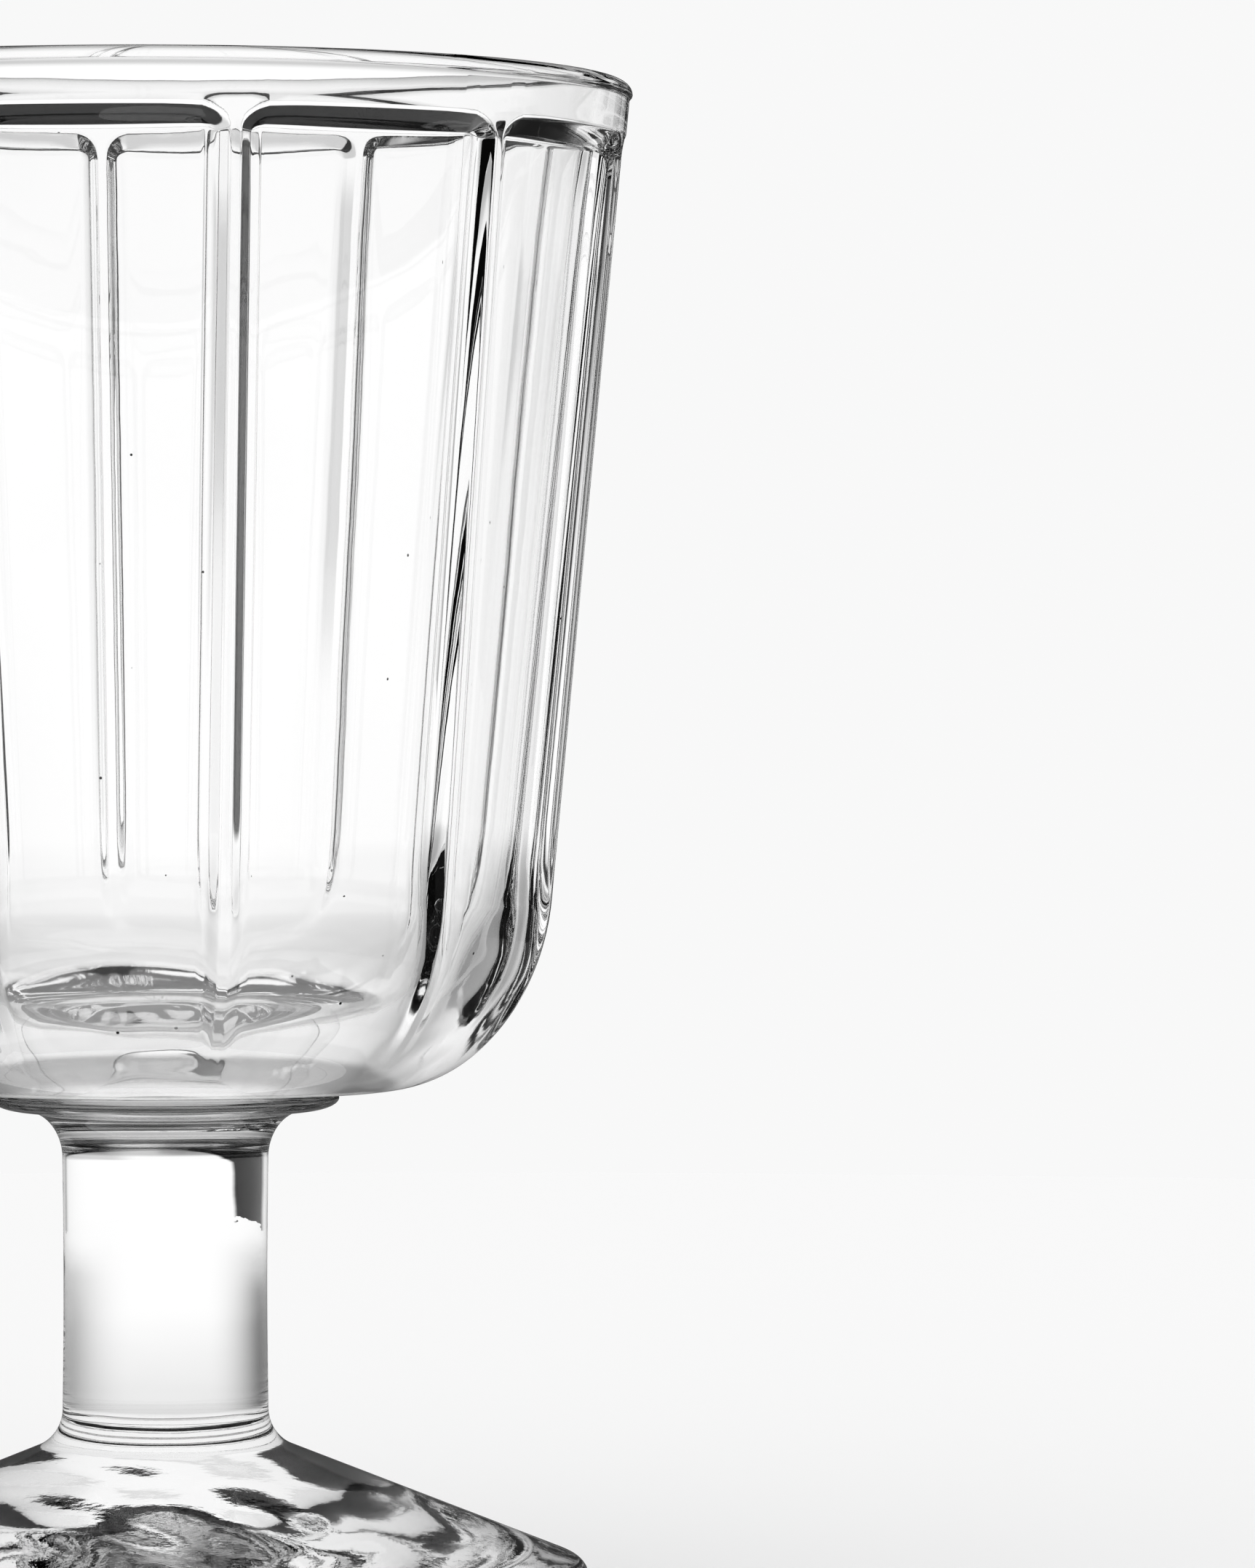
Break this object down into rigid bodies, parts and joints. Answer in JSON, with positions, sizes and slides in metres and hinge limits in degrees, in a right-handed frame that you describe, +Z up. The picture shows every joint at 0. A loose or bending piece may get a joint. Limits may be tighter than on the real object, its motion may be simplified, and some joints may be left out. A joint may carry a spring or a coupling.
{
  "type": "wine glass",
  "caption": "Clear pressed-glass wine goblet: tall fluted bowl with arched panels and a rounded lip, flared collar, short round stem and spreading foot.",
  "frame": {"origin": "on the table under the foot, on the glass's axis", "axes": "+Z up along the axis of the stem and bowl; +X passes through a rib of the bowl and +Y through the middle of a panel"},
  "size_m": [0.0882, 0.0882, 0.143],
  "materials": {
    "bowl_glass": "clear, fire polished",
    "collar_glass": "clear, fire polished",
    "stem_glass": "clear, fire polished",
    "foot_glass": "clear, fire polished"
  },
  "bodies": {
    "root": {"bowl": "bowl_glass", "collar": "collar_glass", "stem": "stem_glass", "foot": "foot_glass"}
  },
  "joints": []
}
